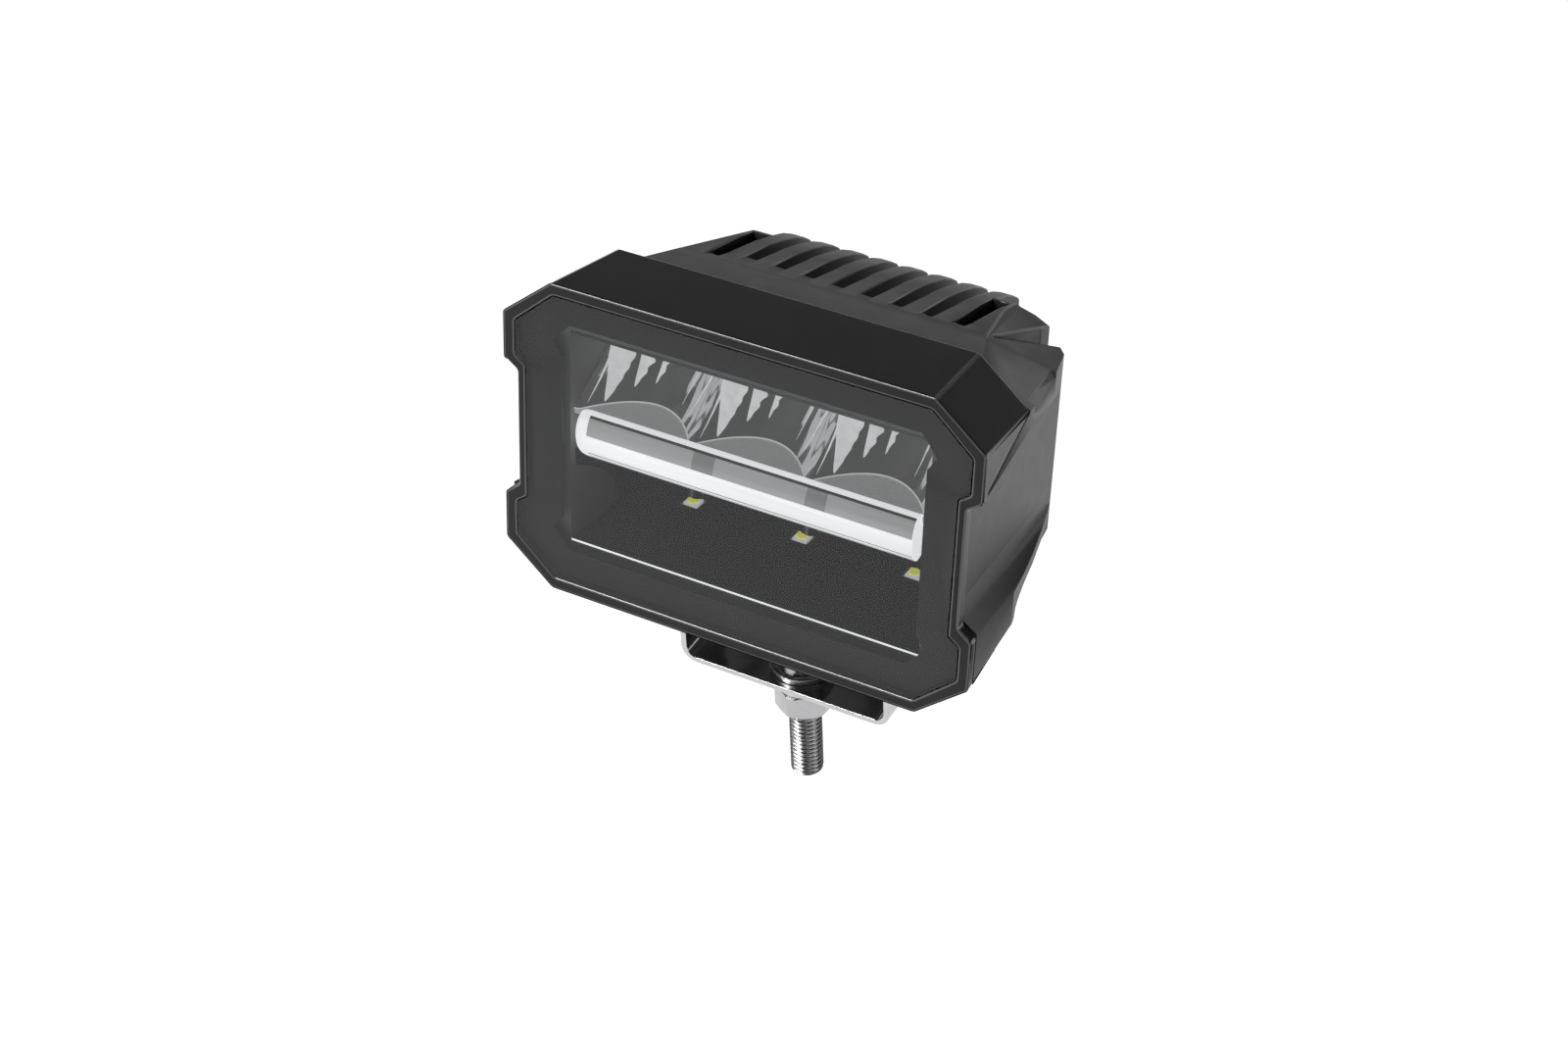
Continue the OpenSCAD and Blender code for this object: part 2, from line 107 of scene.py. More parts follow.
class Shader:
    """One Principled material whose colour, roughness and bump come from noise nodes."""

    def __init__(self, name):
        self.material = bpy.data.materials.new(name)
        self.material.use_nodes = True
        self.tree = self.material.node_tree
        self.bsdf = self.tree.nodes["Principled BSDF"]
        self.coord = self.tree.nodes.new("ShaderNodeTexCoord").outputs["Object"]
        self.height = None

    def node(self, kind, **inputs):
        made = self.tree.nodes.new(kind)
        for key, value in inputs.items():
            self.put(made.inputs[key.replace("_", " ")], value)
        return made

    def put(self, socket, value):
        if isinstance(value, bpy.types.NodeSocket):
            self.tree.links.new(value, socket)
        else:
            socket.default_value = value

    def noise(self, scale, detail=3, rough=0.55, squash=(1, 1, 1)):
        """Noise whose features are about 1 / scale metres long."""
        mapping = self.node("ShaderNodeMapping", Vector=self.coord, Scale=squash)
        made = self.node("ShaderNodeTexNoise", Vector=mapping.outputs[0], Scale=scale, Detail=detail)
        made.inputs["Roughness"].default_value = rough
        return made.outputs[0]

    def spread(self, source, low, high, start=0.3, end=0.7):
        """Maps start..end of a value to low..high, which are numbers."""
        made = self.node("ShaderNodeMapRange", Value=source)
        for name, value in (("From Min", start), ("From Max", end), ("To Min", low), ("To Max", high)):
            made.inputs[name].default_value = value
        return made.outputs[0]

    def colours(self, source, stops):
        ramp = self.tree.nodes.new("ShaderNodeValToRGB")
        self.put(ramp.inputs[0], source)
        for i, (place, colour) in enumerate(stops):
            stop = ramp.color_ramp.elements[i] if i < 2 else ramp.color_ramp.elements.new(place)
            stop.position = place
            stop.color = (*colour, 1)
        return ramp.outputs[0]

    def bump(self, height, distance, strength=1.0):
        made = self.node("ShaderNodeBump", Height=height, Distance=distance, Strength=strength)
        if self.height is not None:
            self.tree.links.new(self.height, made.inputs["Normal"])
        self.height = made.outputs[0]
        self.put(self.bsdf.inputs["Normal"], self.height)

    def set(self, **values):
        for key, value in values.items():
            self.put(self.bsdf.inputs[key.replace("_", " ")], value)
        return self


def grey(v, tint=0.0):
    return (v, v, v * (1 + tint))


def coat(name, dark, light, rough_low, rough_high, grain=9000, depth=0.00003, specular=0.5):
    """Powder coat or moulded plastic: a fine pebble with slow changes of tone and gloss."""
    s = Shader(name)
    slow = s.noise(60, 4)
    fine = s.noise(grain, 2, 0.6)
    s.set(Base_Color=s.colours(slow, [(0.3, grey(dark, 0.02)), (0.7, grey(light, 0.02))]))
    s.set(Roughness=s.spread(s.noise(220, 4), rough_low, rough_high), Specular_IOR_Level=specular)
    s.bump(fine, depth, 0.6)
    return s


def steel(name, tone, rough_low, rough_high, brushed=(1, 1, 1), depth=0.000006):
    """Bare metal with fine brushing and a few duller patches."""
    s = Shader(name)
    lines = s.noise(5200, 3, 0.7, brushed)
    patches = s.noise(180, 4)
    s.set(Base_Color=s.colours(patches, [(0.3, grey(tone * 0.9, 0.01)), (0.7, grey(tone, 0.02))]))
    s.set(Metallic=1.0, Roughness=s.spread(lines, rough_low, rough_high))
    s.bump(lines, depth, 0.5)
    return s


def clear_plastic(name, ior):
    """Clear polycarbonate, thin enough to leave what is behind it where it is."""
    s = Shader(name)
    gloss = s.node("ShaderNodeBsdfGlossy", Roughness=s.spread(s.noise(200), 0.02, 0.06))
    tint = s.node("ShaderNodeBsdfTransparent", Color=(0.97, 0.98, 0.985, 1))
    fresnel = s.node("ShaderNodeFresnel", IOR=ior)
    mix = s.node("ShaderNodeMixShader")
    s.put(mix.inputs[0], fresnel.outputs[0])
    s.put(mix.inputs[1], tint.outputs[0])
    s.put(mix.inputs[2], gloss.outputs[0])
    s.put(s.tree.nodes["Material Output"].inputs["Surface"], mix.outputs[0])
    return s


def glow(name, tone, strength, scale=900, squash=(0.02, 1, 1)):
    """Glowing material with faint streaks along the rod: its glow paints light, highlights and reflections.
    """
    s = Shader(name)
    streaks = s.noise(scale, 3, 0.6, squash)
    s.set(Base_Color=s.colours(streaks, [(0.3, grey(tone * 0.9)), (0.7, grey(tone))]), Roughness=0.14)
    s.set(Emission_Color=(1, 1, 1, 1), Emission_Strength=s.spread(streaks, strength * 0.85, strength))
    s.bump(streaks, 0.00002, 0.3)
    return s


def sparkle(name):
    """Light plastic with fine flakes in it; the flakes glow a little, as painted glints."""
    s = Shader(name)
    flakes = s.noise(6500, 2, 0.8)
    s.set(Base_Color=s.colours(flakes, [(0.35, grey(0.34)), (0.65, grey(0.66))]), Roughness=0.5)
    s.set(Emission_Color=(1, 1, 1, 1), Emission_Strength=s.spread(flakes, 0.06, 0.20))
    s.bump(flakes, 0.00004, 0.7)
    return s


def phosphor(name):
    """The yellow layer over an LED chip, with a faint glow that is painted light."""
    s = Shader(name)
    s.set(Base_Color=s.colours(s.noise(3000), [(0.3, (0.72, 0.70, 0.05)), (0.7, (0.86, 0.84, 0.10))]))
    s.set(Roughness=0.35, Emission_Color=(0.8, 0.8, 0.10, 1), Emission_Strength=0.45)
    s.bump(s.noise(4000), 0.00001)
    return s


def ceramic(name):
    """The white package around an LED chip; its faint glow is painted light."""
    s = Shader(name)
    s.set(Base_Color=s.colours(s.noise(2500), [(0.3, grey(0.70)), (0.7, grey(0.8))]), Roughness=0.3)
    s.set(Emission_Color=(1, 1, 1, 1), Emission_Strength=0.30)
    s.bump(s.noise(5000), 0.00001)
    return s


def paper(name):
    """The floor: dark in itself and lit from within, so that it stays white but lights little."""
    s = Shader(name)
    s.set(Base_Color=s.colours(s.noise(8), [(0.3, grey(0.12)), (0.7, grey(0.14))]), Roughness=0.9)
    s.set(Emission_Color=(1, 1, 1, 1), Emission_Strength=1.0, Specular_IOR_Level=0.1)
    s.bump(s.noise(900), 0.00005, 0.3)
    return s


def build_materials():
    made = {}
    made["bezel"] = coat("bezel_powder_coat", 0.004, 0.006, 0.30, 0.36, 5200, 0.000012, 0.22)
    # lighter, glossier coats for the rounded edges: partly wear, partly a painted highlight
    made["bezel_edge"] = coat("bezel_wear_and_painted_highlight_edge", 0.030, 0.045, 0.22, 0.28, 5200, 0.000006, 0.6)
    made["housing"] = coat("housing_powder_coat", 0.008, 0.011, 0.45, 0.49, 4200, 0.00003, 0.30)
    made["housing_edge"] = coat("housing_wear_and_painted_highlight_edge", 0.020, 0.030, 0.34, 0.40, 4200, 0.00001, 0.5)
    made["mask"] = coat("lens_print", 0.022, 0.025, 0.34, 0.40, 12000, 0.000003, 0.3)
    made["seal"] = coat("gasket_rubber", 0.004, 0.006, 0.6, 0.75, specular=0.2)
    made["frame"] = coat("frame_plastic", 0.20, 0.23, 0.4, 0.5, grain=7000)
    made["floor"] = coat("floor_gloss", 0.022, 0.027, 0.10, 0.15, 3000, 0.000002)
    made["board"] = coat("board_white", 0.7, 0.75, 0.35, 0.45)
    made["green"] = coat("board_mask", 0.02, 0.03, 0.3, 0.4)
    made["pad"] = coat("thermal_pad", 0.5, 0.56, 0.7, 0.8)
    made["parts"] = coat("driver_parts", 0.03, 0.06, 0.4, 0.6)
    made["gland"] = coat("gland_plastic", 0.010, 0.016, 0.42, 0.55, grain=3000)
    made["bracket"] = steel("bracket_polished", 0.5, 0.10, 0.18)
    made["screw"] = steel("stainless_steel", 0.55, 0.22, 0.34)
    made["thread"] = steel("thread_plated", 0.42, 0.22, 0.32)
    made["root"] = steel("thread_root_painted_shade", 0.05, 0.35, 0.5)
    made["nut"] = steel("nut_plated", 0.42, 0.22, 0.34, (1, 1, 0.1))
    made["mirror"] = steel("reflector_metallised", 0.62, 0.03, 0.08, depth=0.000002)
    # a faint glow over the mirror metal: painted light that brightens the bowls
    made["mirror"].set(Emission_Color=(1, 1, 1, 1), Emission_Strength=0.045)
    # the lower bowls take a much darker, rougher copy of the mirror metal
    made["smoked"] = steel("reflector_smoked", 0.10, 0.10, 0.16, depth=0.000002)
    # glowing streaks on the upper bowls: painted reflections
    made["painted_reflection_glow"] = glow("reflector_painted_reflection", 0.55, 0.50, 500, (1, 1, 0.1))
    made["lens"] = clear_plastic("lens_clear", 1.5)
    # rays are not bent, so the rear face has almost no index, or it would reflect them all at a slant
    made["lens_back"] = clear_plastic("lens_clear_back", 1.001)
    made["rim"] = glow("arch_rim_painted_highlight", 0.6, 0.35)
    made["edge_lit"] = glow("plate_edge_painted_highlight", 0.8, 0.85)
    # the light guide's glow is painted light; band_dark is a painted shade copy of the band
    made["guide"] = glow("guide_lit", 0.75, 0.75)
    made["band"] = glow("guide_band", 0.40, 0.22)
    made["band_dark"] = glow("guide_band_shade", 0.28, 0.12)
    made["line"] = glow("guide_line", 0.08, 0.02)
    made["shelf"] = sparkle("shelf_sparkle")
    made["phosphor"] = phosphor("led_phosphor")
    made["package"] = ceramic("led_package")
    return {key: shader.material for key, shader in made.items()}


MATERIALS = build_materials()

# ---------------------------------------------------------------- meshes


def add(name, bm, body, material, stands_for=(), smooth=35):
    """Makes a piece of a bmesh that is already in metres in the part's frame."""
    bmesh.ops.recalc_face_normals(bm, faces=bm.faces)
    mesh = bpy.data.meshes.new(name)
    bm.to_mesh(mesh)
    bm.free()
    for polygon in mesh.polygons:
        polygon.use_smooth = True
    mesh.set_sharp_from_angle(angle=math.radians(smooth))
    piece = bpy.data.objects.new(name, mesh)
    bpy.context.scene.collection.objects.link(piece)
    keys = material if isinstance(material, (list, tuple)) else [material]
    for key in keys:
        mesh.materials.append(MATERIALS[key])
    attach(piece, body)
    if stands_for:
        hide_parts(*stands_for)
    return piece


def grid(bm, rows, frame_matrix, closed=False, material=0):
    """Skins rows of points with quads. Every row has the same number of points."""
    made = [[bm.verts.new(frame_matrix @ Vector(p)) for p in row] for row in rows]
    for a, b in zip(made, made[1:]):
        n = len(a)
        for i in range(n if closed else n - 1):
            face = bm.faces.new((a[i], a[(i + 1) % n], b[(i + 1) % n], b[i]))
            face.material_index = material
    return made


def on_fins(point):
    """True on the finned block and the facets, in the head's own frame."""
    block_front, block_bottom, block_half = 40.5, -3, 41.5
    x, y, z = point
    return y > block_front and z > block_bottom and abs(x) < block_half


def weigh_edges(bm, chosen):
    """Marks the edges to round: both ends in the chosen region and the faces at an angle."""
    sharp = math.radians(20)
    layer = bm.edges.layers.float.new("bevel_weight_edge")
    inverse = HEAD.inverted()
    for edge in bm.edges:
        inside = all(chosen(inverse @ v.co) for v in edge.verts)
        if inside and len(edge.link_faces) == 2 and edge.calc_face_angle() > sharp:
            edge[layer] = 1


def rounded(node, material, width=0.35, segments=2, angle=24, edge=None, clamp=True, chosen=None):
    """A copy of a CAD node with its flat faces joined up and its edges rounded.

    The edges are those sharper than the angle, or else those in the chosen region.
    """
    flat = math.radians(1.5)
    source = frame["nodes"][node]
    bm = bmesh.new()
    bm.from_mesh(source.data)
    bmesh.ops.remove_doubles(bm, verts=bm.verts, dist=WELD)
    bmesh.ops.dissolve_limit(bm, angle_limit=flat, verts=bm.verts, edges=bm.edges)
    if chosen:
        weigh_edges(bm, chosen)
    keys = [material] + ([edge] if edge else [])
    piece = add(node + "_finished", bm, source["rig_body"], keys, (node,))
    bevel = piece.modifiers.new("edges", "BEVEL")
    bevel.width = width * MM
    bevel.segments = segments
    bevel.limit_method = "WEIGHT" if chosen else "ANGLE"
    bevel.angle_limit = math.radians(angle)
    bevel.use_clamp_overlap = clamp
    bevel.miter_outer = "MITER_ARC"
    bevel.harden_normals = True
    # the rounded faces take the lighter edge material: partly wear, partly a painted highlight along the
    # edges
    if edge:
        bevel.material = 1
    return piece


# ---------------------------------------------------------------- optics


def bowl_point(u, z, axis_z):
    """Point of the paraboloid around one LED: u from its middle, z the height."""
    drop = z - axis_z
    return (u, LED_Y + FOCUS - (u * u + drop * drop) / (4 * FOCUS), z)


def bowl_row(name, z_from, axis_z, slot_node, keys, with_painted_reflections=False):
    """One row of three mirror bowls with fine flutes, between z_from and the LEDs' plane."""
    bm = bmesh.new()
    steps = 14
    half = LED_PITCH / 2
    columns = 40
    flute_depth, flute_pitch = 0.10, 3.55
    front = GUIDE_HIGH[1] - 1.5
    for i in PLACES:
        left = -half if i > -1 else -(ROW_HALF - LED_PITCH)
        right = half if i < 1 else ROW_HALF - LED_PITCH
        rows = []
        for j in range(steps + 1):
            z = z_from + (axis_z - z_from) * j / steps
            row = []
            for k in range(columns + 1):
                u = left + (right - left) * k / columns
                x, y, height = bowl_point(u, z, axis_z)
                ripple = flute_depth * math.cos(2 * math.pi * u / flute_pitch)
                row.append((x + i * LED_PITCH, max(y + ripple, front), height))
            rows.append(row)
        grid(bm, rows, HEAD)
    # painted reflections: glowing streaks laid just over the upper bowls
    if with_painted_reflections:
        painted_reflections(bm)
    return add(name, bm, "head", keys, (slot_node,), smooth=50)


def painted_reflection(bm, middle, top_u, width, tip_u, tip_z, tooth):
    """A painted reflection: a bright jagged glowing streak laid over an upper bowl, from a point near the
    shelf up to the plate.
    """
    steps = 60
    columns = 4
    rows = []
    for j in range(steps + 1):
        t = j / steps
        z = tip_z + (UPPER_Z - 0.3 - tip_z) * t
        centre = tip_u + (top_u - tip_u) * min(1, t * 1.9)
        half = width / 2 * min(1, t * 2.6) ** 0.7 + 0.02
        saw = tooth * min(1, 4 * t) * (abs((z * 0.62 + top_u) % 1 - 0.5) * 4 - 1)
        left, right = centre - half, centre + half + saw
        row = []
        for k in range(columns + 1):
            x, y, height = bowl_point(left + (right - left) * k / columns, z, UPPER_Z)
            row.append((x + middle, y - 0.12, height))
        rows.append(row)
    grid(bm, rows, HEAD, material=1)


def painted_reflections(bm):
    """Six painted reflections on each of the three upper bowls, wide streaks and hairlines."""
    for i in PLACES:
        middle = i * LED_PITCH
        painted_reflection(bm, middle, -12.5, 4.2, -10.5, SHELF_Z + 0.4, 0.15)
        painted_reflection(bm, middle, -7.9, 3.6, -7.0, 7.7, 0.60)
        painted_reflection(bm, middle, -4.1, 2.4, -3.4, 8.2, 0.55)
        painted_reflection(bm, middle, 4.5, 0.5, 5.2, 7.0, 0.10)
        painted_reflection(bm, middle, 9.5, 0.6, 8.6, 6.6, 0.15)
        painted_reflection(bm, middle, -14.0, 0.4, -13.2, 6.4, 0.05)


def shelf():
    """The sparkled shelf over the light guide: its rear edge follows the three bowls."""
    bm = bmesh.new()
    columns = 120
    front, rear = [], []
    for k in range(columns + 1):
        x = -ROW_HALF + 2 * ROW_HALF * k / columns
        i = max(-1, min(1, round(x / LED_PITCH)))
        y = bowl_point(x - i * LED_PITCH, SHELF_Z, UPPER_Z)[1]
        front.append((x, GUIDE_HIGH[1] - 2.0, SHELF_Z))
        rear.append((x, max(y, GUIDE_HIGH[1] - 1.9), SHELF_Z))
    thin = 1.2
    loop = [[(x, y, z - thin) for x, y, z in front], front, rear, [(x, y, z - thin) for x, y, z in rear]]
    grid(bm, loop + loop[:1], HEAD)
    # the thin rim that stands along the arches, made to glow: a painted highlight
    rim = [
        rear,
        [(x, y - 0.05, z + 0.22) for x, y, z in rear],
        [(x, y - 0.28, z + 0.22) for x, y, z in rear],
        [(x, y - 0.34, z) for x, y, z in rear],
    ]
    grid(bm, rim, HEAD, material=1)
    return add("arched_shelf", bm, "head", ["shelf", "rim"], ("guide_holder",))


LIT, BAND, BAND_DARK, LINE = range(4)
GUIDE_STRIPS = (
    # share of the visible round, from the bottom up, and material
    (0.06, BAND),
    (0.09, LINE),
    (0.16, LIT),
    (0.19, BAND),
    (0.24, LIT),
    (0.27, BAND),
    (0.56, LIT),
    (0.84, BAND),
    (0.89, LINE),
    (1.00, LIT),
)
# stretches along x where the band takes its darker copy: painted shade
SHADED = ((-11.9, -6.6), (15.7, 20.6))
LEFT_END = 2.6
RIGHT_END = 0.5


def strip_material(share):
    return next(material for limit, material in GUIDE_STRIPS if share <= limit + 1e-6)


def strip_shares():
    """The strips' limits with extra steps between them, no more than about 0.05 apart."""
    shares = [0.0]
    for limit, _ in GUIDE_STRIPS:
        start = shares[-1]
        parts = max(1, round((limit - start) / 0.05))
        shares += [start + (limit - start) * (k + 1) / parts for k in range(parts)]
    return shares


def guide_profile(shares):
    """Side view of the rod as (y, z): the round front over the strips, then the flat back."""
    y0, z0 = GUIDE_LOW[1:]
    y1, z1 = GUIDE_HIGH[1:]
    middle = (z0 + z1) / 2
    reach = math.radians(78)
    groove_depth = 0.12
    root = y1 - 1.2
    profile = []
    for share in shares:
        a = -reach + 2 * reach * share
        groove = groove_depth if strip_material(share) == LINE else 0
        y = root - (root - y0 - groove) * math.cos(a) ** 0.8
        profile.append((y, middle + (z1 - z0) / 2 * math.sin(a) / math.sin(reach)))
    return profile + [(y1 - 0.2, z1 - 1.4), (y1, z1 - 3), (y1, z0 + 2), (y1 - 1, z0 + 0.4)]


def guide_stations(band):
    """Places along the rod as (x, swell), where a swell of 1 is the full section."""
    x0, x1 = GUIDE_LOW[0], GUIDE_HIGH[0]
    steps = 10
    turn = [math.pi / 2 * k / steps for k in range(steps)]
    left = [(x0 + LEFT_END * (1 - math.cos(a)), math.sin(a)) for a in turn]
    right = [(x1 - RIGHT_END * (1 - math.cos(a)), math.sin(a)) for a in reversed(turn)]
    inner = sorted([x0 + LEFT_END, *band] + [x for pair in SHADED for x in pair])
    return left + [(x, 1.0) for x in inner] + right


def guide_material(xa, xb, band, k, shares):
    """Material of the face between two stations, on strip k of the profile."""
    slack = 0.01
    if not (band[0] - slack < xa and xb < band[1] + slack):
        return LIT
    material = strip_material(shares[k + 1]) if k + 1 < len(shares) else BAND
    shaded = any(low - slack <= xa and xb <= high + slack for low, high in SHADED)
    if material == BAND and shaded and k < len(shares) and shares[k] > 0.5:
        return BAND_DARK
    return material


def light_guide():
    """The bar, painted as lit: a D-shaped rod with rounded ends, bright ribs below and a grey band above;
    its glow is painted light and the band's darker copy over the SHADED stretches is painted shade.
    """
    band = (GUIDE_LOW[0] + LEFT_END + 0.8, GUIDE_HIGH[0] - RIGHT_END)
    shares = strip_shares()
    profile = guide_profile(shares)
    stations = guide_stations(band)
    middle_y = (GUIDE_LOW[1] + GUIDE_HIGH[1]) / 2 + 0.6
    middle_z = (GUIDE_LOW[2] + GUIDE_HIGH[2]) / 2
    end_size = 0.62
    bm = bmesh.new()
    rings = []
    for x, swell in stations:
        size = end_size + (1 - end_size) * swell
        ring = [(x, middle_y + (y - middle_y) * size, middle_z + (z - middle_z) * size) for y, z in profile]
        rings.append([bm.verts.new(HEAD @ Vector(p)) for p in ring])
    for (xa, _), (xb, _), a, b in zip(stations, stations[1:], rings, rings[1:]):
        for k in range(len(profile)):
            n = (k + 1) % len(profile)
            face = bm.faces.new((a[k], a[n], b[n], b[k]))
            face.material_index = guide_material(xa, xb, band, k, shares)
    bm.faces.new(rings[0])
    bm.faces.new(list(reversed(rings[-1])))
    keys = ["guide", "band", "band_dark", "line"]
    return add("lit_bar", bm, "head", keys, ("light_guide",), smooth=60)


def box_mesh(bm, low, high, material, bevel):
    """A box in the head's frame with rounded edges, joined into bm."""
    part = bmesh.new()
    bmesh.ops.create_cube(part, size=1)
    for v in part.verts:
        v.co = Vector([(low[i] + high[i]) / 2 + v.co[i] * (high[i] - low[i]) for i in range(3)])
    bmesh.ops.bevel(part, geom=part.edges[:], offset=bevel, segments=2, affect="EDGES")
    part.verts.index_update()
    verts = [bm.verts.new(HEAD @ v.co) for v in part.verts]
    for face in part.faces:
        made = bm.faces.new([verts[v.index] for v in face.verts])
        made.material_index = material
    part.free()


def circle(radius, z, turns):
    """Points of a level circle around the Z axis."""
    angles = [2 * math.pi * t / turns for t in range(turns)]
    return [(radius * math.cos(a), radius * math.sin(a), z) for a in angles]


def dome(bm, centre, radius, height, material, up):
    """A low round dome on a short straight wall, in the head's frame."""
    turns, rings = 28, 5
    wall = 0.45
    levels = [(0, 1.0), (height * wall, 1.0)]
    for k in range(1, rings):
        a = math.pi / 2 * k / rings
        levels.append((height * (wall + (1 - wall) * math.sin(a)), math.cos(a)))
    rows = []
    for h, size in levels:
        ring = circle(radius * size, centre[2] + up * h, turns)
        rows.append([(centre[0] + x, centre[1] + y, z) for x, y, z in ring])
    made = grid(bm, rows, HEAD, closed=True, material=material)
    face = bm.faces.new(made[-1])
    face.material_index = material


def floor_edge():
    """The polished front edge of the lower glossy plate, made to glow: a painted highlight."""
    low, high = head_box("lower_plate")
    bm = bmesh.new()
    corner = (low[0], low[1] - 0.12, high[2] - 0.42)
    opposite = (high[0], low[1] + 0.05, high[2] + 0.02)
    box_mesh(bm, corner, opposite, 0, 0.04)
    return add("plate_edge_painted_highlight", bm, "head", "edge_lit")


def led_row(name, plate_z, up, node):
    """Three LED packages: a white ceramic square, a yellow dome and two solder pads."""
    bm = bmesh.new()
    half = 1.75
    pad_half, pad_from, pad_to = 1.3, 1.85, 2.45
    for i in PLACES:
        x = i * LED_PITCH
        z = sorted((plate_z, plate_z + LED_THICK * up))
        box_mesh(bm, (x - half, LED_Y - half, z[0]), (x + half, LED_Y + half, z[1]), 0, 0.12)
        dome(bm, (x, LED_Y, plate_z + LED_THICK * up), 1.25, 0.75, 1, up)
        z = sorted((plate_z, plate_z + 0.12 * up))
        for side in (-1, 1):
            a, b = sorted((x + side * pad_from, x + side * pad_to))
            box_mesh(bm, (a, LED_Y - pad_half, z[0]), (b, LED_Y + pad_half, z[1]), 2, 0.04)
    return add(name, bm, "head", ["package", "phosphor", "screw"], (node,))


def build_optics():
    bowl_row("upper_bowls", SHELF_Z, UPPER_Z, "upper_reflector", ["mirror", "painted_reflection_glow"], True)
    bowl_row("lower_bowls", -SHELF_Z + 1.3, LOWER_Z, "lower_reflector", ["smoked"])
    floor_edge()
    shelf()
    light_guide()
    led_row("lower_led_row", LOWER_Z - LED_THICK, 1, "lower_leds")
    led_row("upper_led_row", UPPER_Z + LED_THICK, -1, "upper_leds")


# ---------------------------------------------------------------- hardware


def threaded_bolt():
    """The mounting bolt: hex head above the bracket and a rolled M8 thread below the nut."""
    low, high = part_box("mount_bolt")
    pitch = 1.25
    crest, root = 3.95, 3.2
    shank = 3.7
    tip_chamfer = 1.0
    head_height = 5.3
    turns = 40
    per_pitch = 10
    length = -low.z / MM
    levels = int(length / pitch * per_pitch)
    bm = bmesh.new()
    rows = []
    for k in range(levels + 1):
        z = -length + length * k / levels
        row = []
        for t in range(turns):
            phase = (z / pitch + t / turns) % 1
            flank = 1 - abs(2 * phase - 1)
            r = root + (crest - root) * min(1, max(0, 1.3 * flank - 0.12))
            r = min(r, root - 0.5 + (z + length) * 1.25 / tip_chamfer)
            a = 2 * math.pi * t / turns
            row.append((r * math.cos(a), r * math.sin(a), z))
        rows.append(row)
    top = high.z / MM
    head_z = top - head_height
    rows += [circle(shank, z, turns) for z in (0.05, head_z)]
    made = grid(bm, rows, PART, closed=True)
    # faces near the thread's root take a near-black metal: painted shade in the grooves
    for face in bm.faces:
        centre = face.calc_center_median() / MM
        if math.hypot(centre.x, centre.y) < root + 0.28:
            face.material_index = 2
    bm.faces.new(list(reversed(made[0])))
    bm.faces.new(made[-1])
    hexagon(bm, head_z, top, material=1)
    return add("threaded_bolt", bm, "mount", ["thread", "nut", "root"], ("mount_bolt",), 40)


def hexagon(bm, z0, z1, bore=0, material=0):
    """A hexagon with both ends chamfered as on a real nut, and a bore if it has one."""
    turns = 48
    half = NUT_ACROSS / 2
    corner = NUT_ACROSS / math.sqrt(3)
    chamfer = 0.55
    sector = math.radians(60)
    rise = [0, chamfer * 0.25, chamfer * 0.5, chamfer]
    rows = []
    for z in [z0 + h for h in rise] + [z1 - h for h in reversed(rise)]:
        cone = half * 0.955 + min(z - z0, z1 - z) * 1.6
        row = []
        for t in range(turns):
            a = 2 * math.pi * t / turns
            side = half / math.cos((a + sector / 2) % sector - sector / 2)
            r = min(side, cone, corner)
            row.append((r * math.cos(a), r * math.sin(a), z))
        rows.append(row)
    if bore:
        lead = 0.4
        for z, r in ((z1, bore + lead), (z1 - lead, bore), (z0 + lead, bore), (z0, bore + lead)):
            rows.append(circle(r, z, turns))
        grid(bm, rows + rows[:1], PART, closed=True, material=material)
        return
    made = grid(bm, rows, PART, closed=True, material=material)
    for ring in (made[0], made[-1]):
        face = bm.faces.new(ring)
        face.material_index = material


def build_hardware():
    threaded_bolt()
    bm = bmesh.new()
    hexagon(bm, 0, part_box("mount_nut")[1].z / MM, bore=4.0)
    add("chamfered_nut", bm, "mount", "nut", ("mount_nut",))
    washers = ("head_washer", "flat_washer", "spring_washer")
    pivots = ("pivot_bolts", "pivot_spring_washers", "pivot_flat_washers")
    for node in washers + pivots:
        rounded(node, "screw", 0.18)
    rounded("mounting_bracket", "bracket", 0.3, 3)
    rounded("cable_gland", "gland", 0.4)
    rounded("breather_vent", "gland", 0.4)


# ---------------------------------------------------------------- shells


def lens():
    """The clear lens; its side walls are painted black so that no light leaks at the edge."""
    bm = bmesh.new()
    bm.from_mesh(frame["nodes"]["front_lens"].data)
    bmesh.ops.remove_doubles(bm, verts=bm.verts, dist=WELD)
    facing = (HEAD.to_3x3() @ Vector((0, 1, 0))).normalized()
    for face in bm.faces:
        outward = face.normal.dot(facing)
        if abs(outward) < 0.9:
            face.material_index = 2
        else:
            face.material_index = int(outward > 0)
    keys = ["lens", "lens_back", "seal"]
    return add("clear_lens", bm, "head", keys, ("front_lens",), smooth=10)


def build_shells():
    rounded("front_bezel", "bezel", 0.5, segments=3, angle=20, edge="bezel_edge", clamp=False)
    rounded("rear_housing", "housing", 0.35, edge="housing_edge", clamp=False, chosen=on_fins)
    lens()


def dress_nodes():
    """Materials for the CAD nodes that stay as they are."""
    kept = {
        "lens_mask": "mask",
        "lens_gasket": "seal",
        "inner_frame": "frame",
        "upper_plate": "floor",
        "lower_plate": "floor",
        "upper_led_board": "board",
        "lower_led_board": "board",
        "upper_thermal_pad": "pad",
        "lower_thermal_pad": "pad",
        "guide_board": "green",
        "guide_leds": "package",
        "driver_board": "green",
        "driver_parts": "parts",
        "board_screws": "screw",
    }
    for node, key in kept.items():
        mesh = frame["nodes"][node].data
        mesh.materials.clear()
        mesh.materials.append(MATERIALS[key])


# ---------------------------------------------------------------- stage


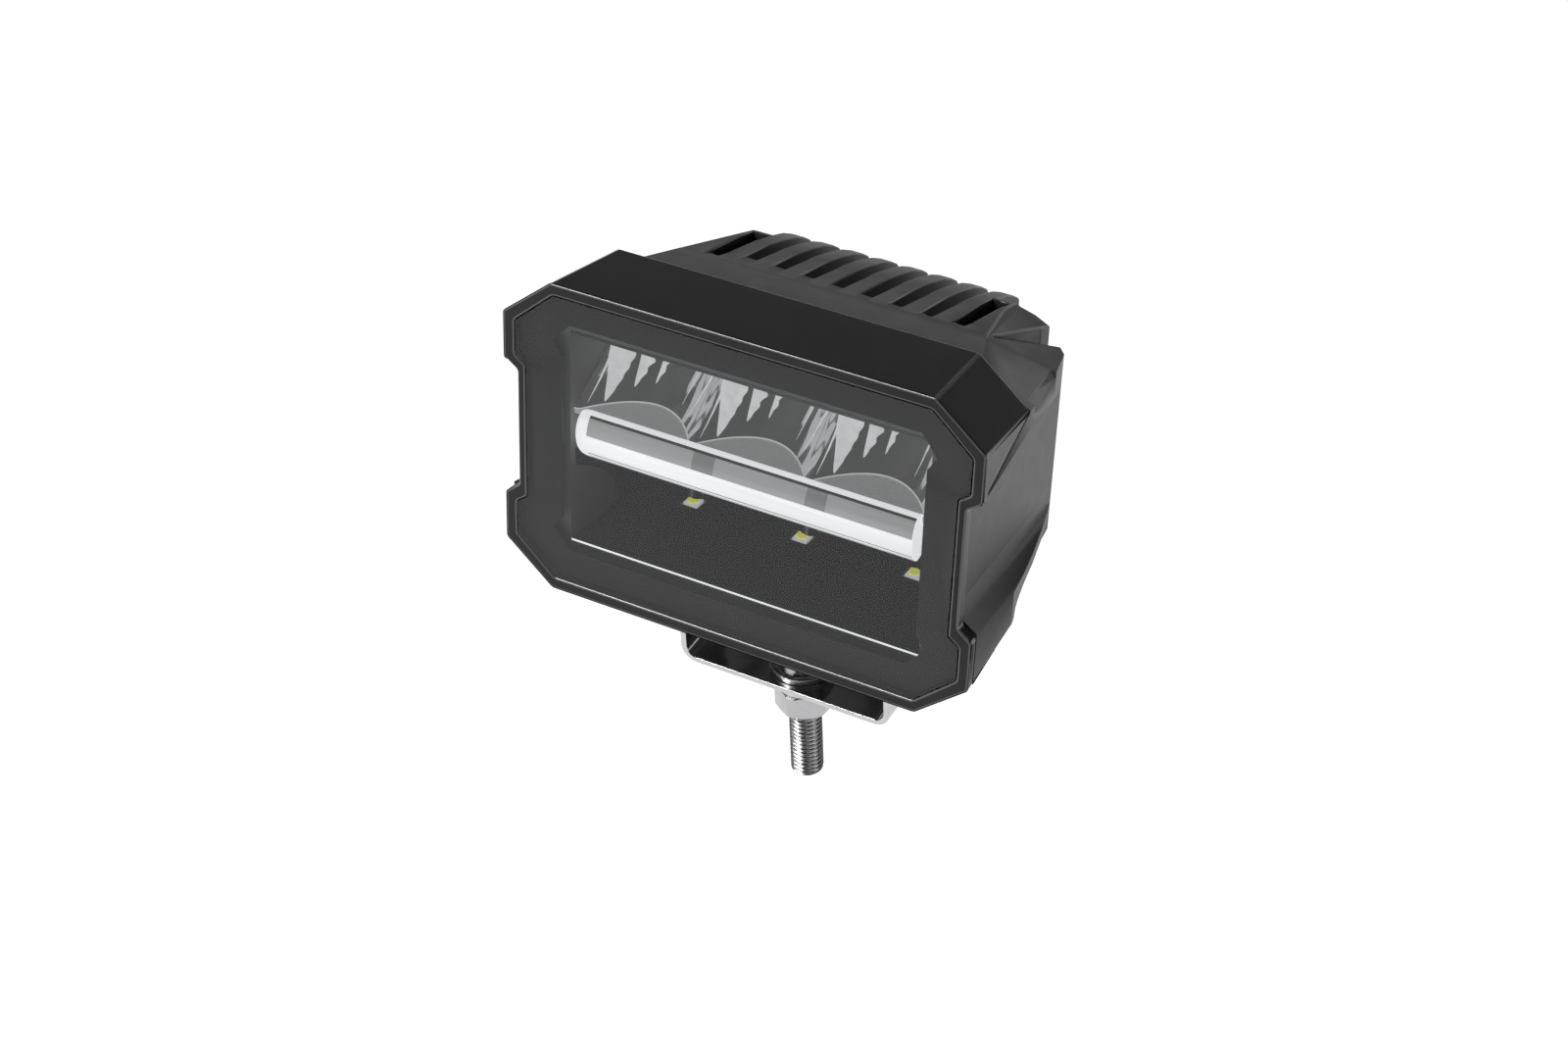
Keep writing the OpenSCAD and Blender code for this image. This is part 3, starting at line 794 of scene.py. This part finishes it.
def camera():
    """The photograph's view, found by fitting the lamp's front outline."""
    data = bpy.data.cameras.new("camera")
    data.lens = 68.21
    data.sensor_width = 36
    data.clip_start = 0.01
    made = bpy.data.objects.new("camera", data)
    bpy.context.scene.collection.objects.link(made)
    azimuth, elevation, roll = (math.radians(v) for v in (27.724, 32.124, 2.318))
    forward = Vector((-math.sin(azimuth), math.cos(azimuth), -math.tan(elevation))).normalized()
    level = forward.cross(Vector((0, 0, 1))).normalized()
    upright = level.cross(forward)
    right = math.cos(roll) * level + math.sin(roll) * upright
    up = math.cos(roll) * upright - math.sin(roll) * level
    pose = Matrix((right, up, -forward)).transposed().to_4x4()
    pose.translation = Vector((258.742, -468.426, 330.342)) * MM
    made.matrix_world = HEAD_TURN @ pose
    bpy.context.scene.camera = made


def softbox(name, place, width, height, power):
    """A rectangular light that faces the lamp. Places and sizes are in metres."""
    data = bpy.data.lights.new(name, "AREA")
    data.energy = power
    data.shape = "RECTANGLE"
    data.size = width
    data.size_y = height
    made = bpy.data.objects.new(name, data)
    bpy.context.scene.collection.objects.link(made)
    made.location = place
    away = Vector(place) - Vector((0, 0, 0.06))
    made.rotation_euler = away.to_track_quat("Z", "Y").to_euler()
    return made


def room():
    """White up to a little above the horizon, then dark overhead."""
    world = bpy.data.worlds.new("studio")
    world.use_nodes = True
    nodes, links = world.node_tree.nodes, world.node_tree.links
    background = nodes["Background"]
    background.inputs["Color"].default_value = (1, 1, 1, 1)
    height = nodes.new("ShaderNodeSeparateXYZ")
    links.new(nodes.new("ShaderNodeTexCoord").outputs["Generated"], height.inputs[0])
    fade = nodes.new("ShaderNodeMapRange")
    for name, value in (("From Min", 0.02), ("From Max", 0.12), ("To Min", 0.9), ("To Max", 0.04)):
        fade.inputs[name].default_value = value
    links.new(height.outputs[2], fade.inputs["Value"])
    links.new(fade.outputs[0], background.inputs["Strength"])
    bpy.context.scene.world = world


def floor():
    """A wide sheet of white paper under the bolt's end."""
    bm = bmesh.new()
    bmesh.ops.create_grid(bm, x_segments=8, y_segments=8, size=3)
    mesh = bpy.data.meshes.new("floor")
    bm.to_mesh(mesh)
    bm.free()
    mesh.materials.append(paper("floor_paper").material)
    made = bpy.data.objects.new("floor", mesh)
    made.location = (0, 0, -0.15)
    bpy.context.scene.collection.objects.link(made)


def stage():
    """White paper under the lamp, a dark room above it, two softboxes and a fill."""
    bpy.context.scene.view_settings.view_transform = "Standard"
    room()
    softbox("right_softbox", (0.75, 0.05, 0.10), 0.5, 0.5, 2.2)
    fill = softbox("left_fill", (-0.50, -0.22, 0.16), 0.2, 0.3, 2.2)
    fill.visible_glossy = False
    softbox("front_softbox", (-0.45, -0.47, 0.90), 0.5, 0.5, 22)
    floor()


build_shells()
build_optics()
build_hardware()
dress_nodes()
camera()
stage()
